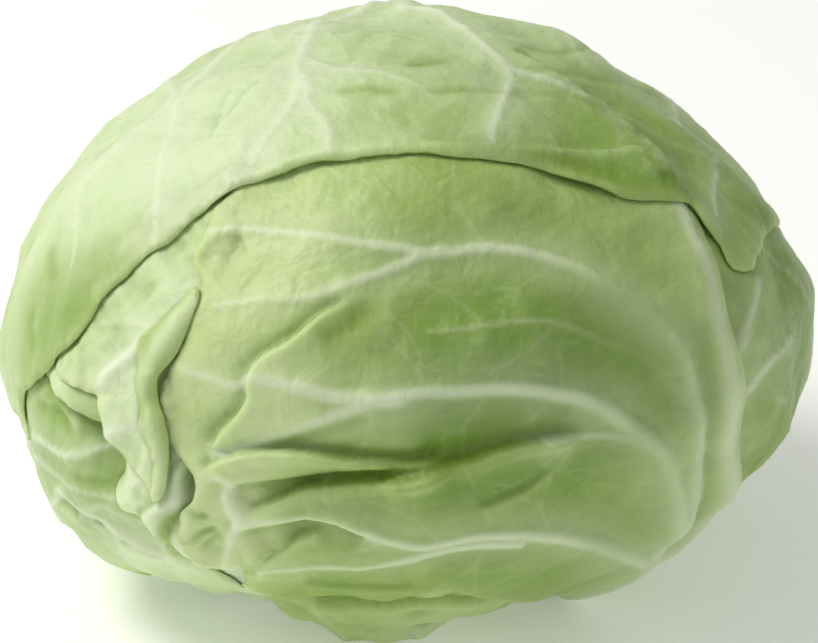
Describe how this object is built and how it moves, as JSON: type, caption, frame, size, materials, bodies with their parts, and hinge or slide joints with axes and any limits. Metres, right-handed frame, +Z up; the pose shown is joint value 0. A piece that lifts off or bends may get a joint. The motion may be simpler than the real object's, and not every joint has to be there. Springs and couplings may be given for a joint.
{
  "type": "cabbage",
  "caption": "Flat-headed green cabbage with overlapping veined wrapper leaves, a pleated front leaf and a short cut stalk.",
  "frame": {"origin": "middle of the box round the head, on the surface it stands on", "axes": "+Z up through the head, +X to the right of its pleated front, -Y towards the front"},
  "size_m": [0.2038, 0.187, 0.139],
  "materials": {
    "outer_leaf": "waxy pale green leaf with whitish veins",
    "front_leaf": "waxy mid-green leaf with whitish veins",
    "heart_leaf": "packed pale yellow-green leaves",
    "stalk_flesh": "cut fibrous cream stalk"
  },
  "bodies": {
    "root": {"heart": "heart_leaf", "stalk": "stalk_flesh", "leaf_top": "outer_leaf", "leaf_left": "outer_leaf", "leaf_left_folded": "outer_leaf", "leaf_left_rolled": "outer_leaf", "leaf_left_inner": "outer_leaf", "leaf_gathered": "outer_leaf", "leaf_left_under": "outer_leaf", "leaf_front": "front_leaf", "leaf_low_front": "front_leaf", "leaf_right": "front_leaf", "leaf_back_right": "front_leaf"}
  },
  "joints": []
}
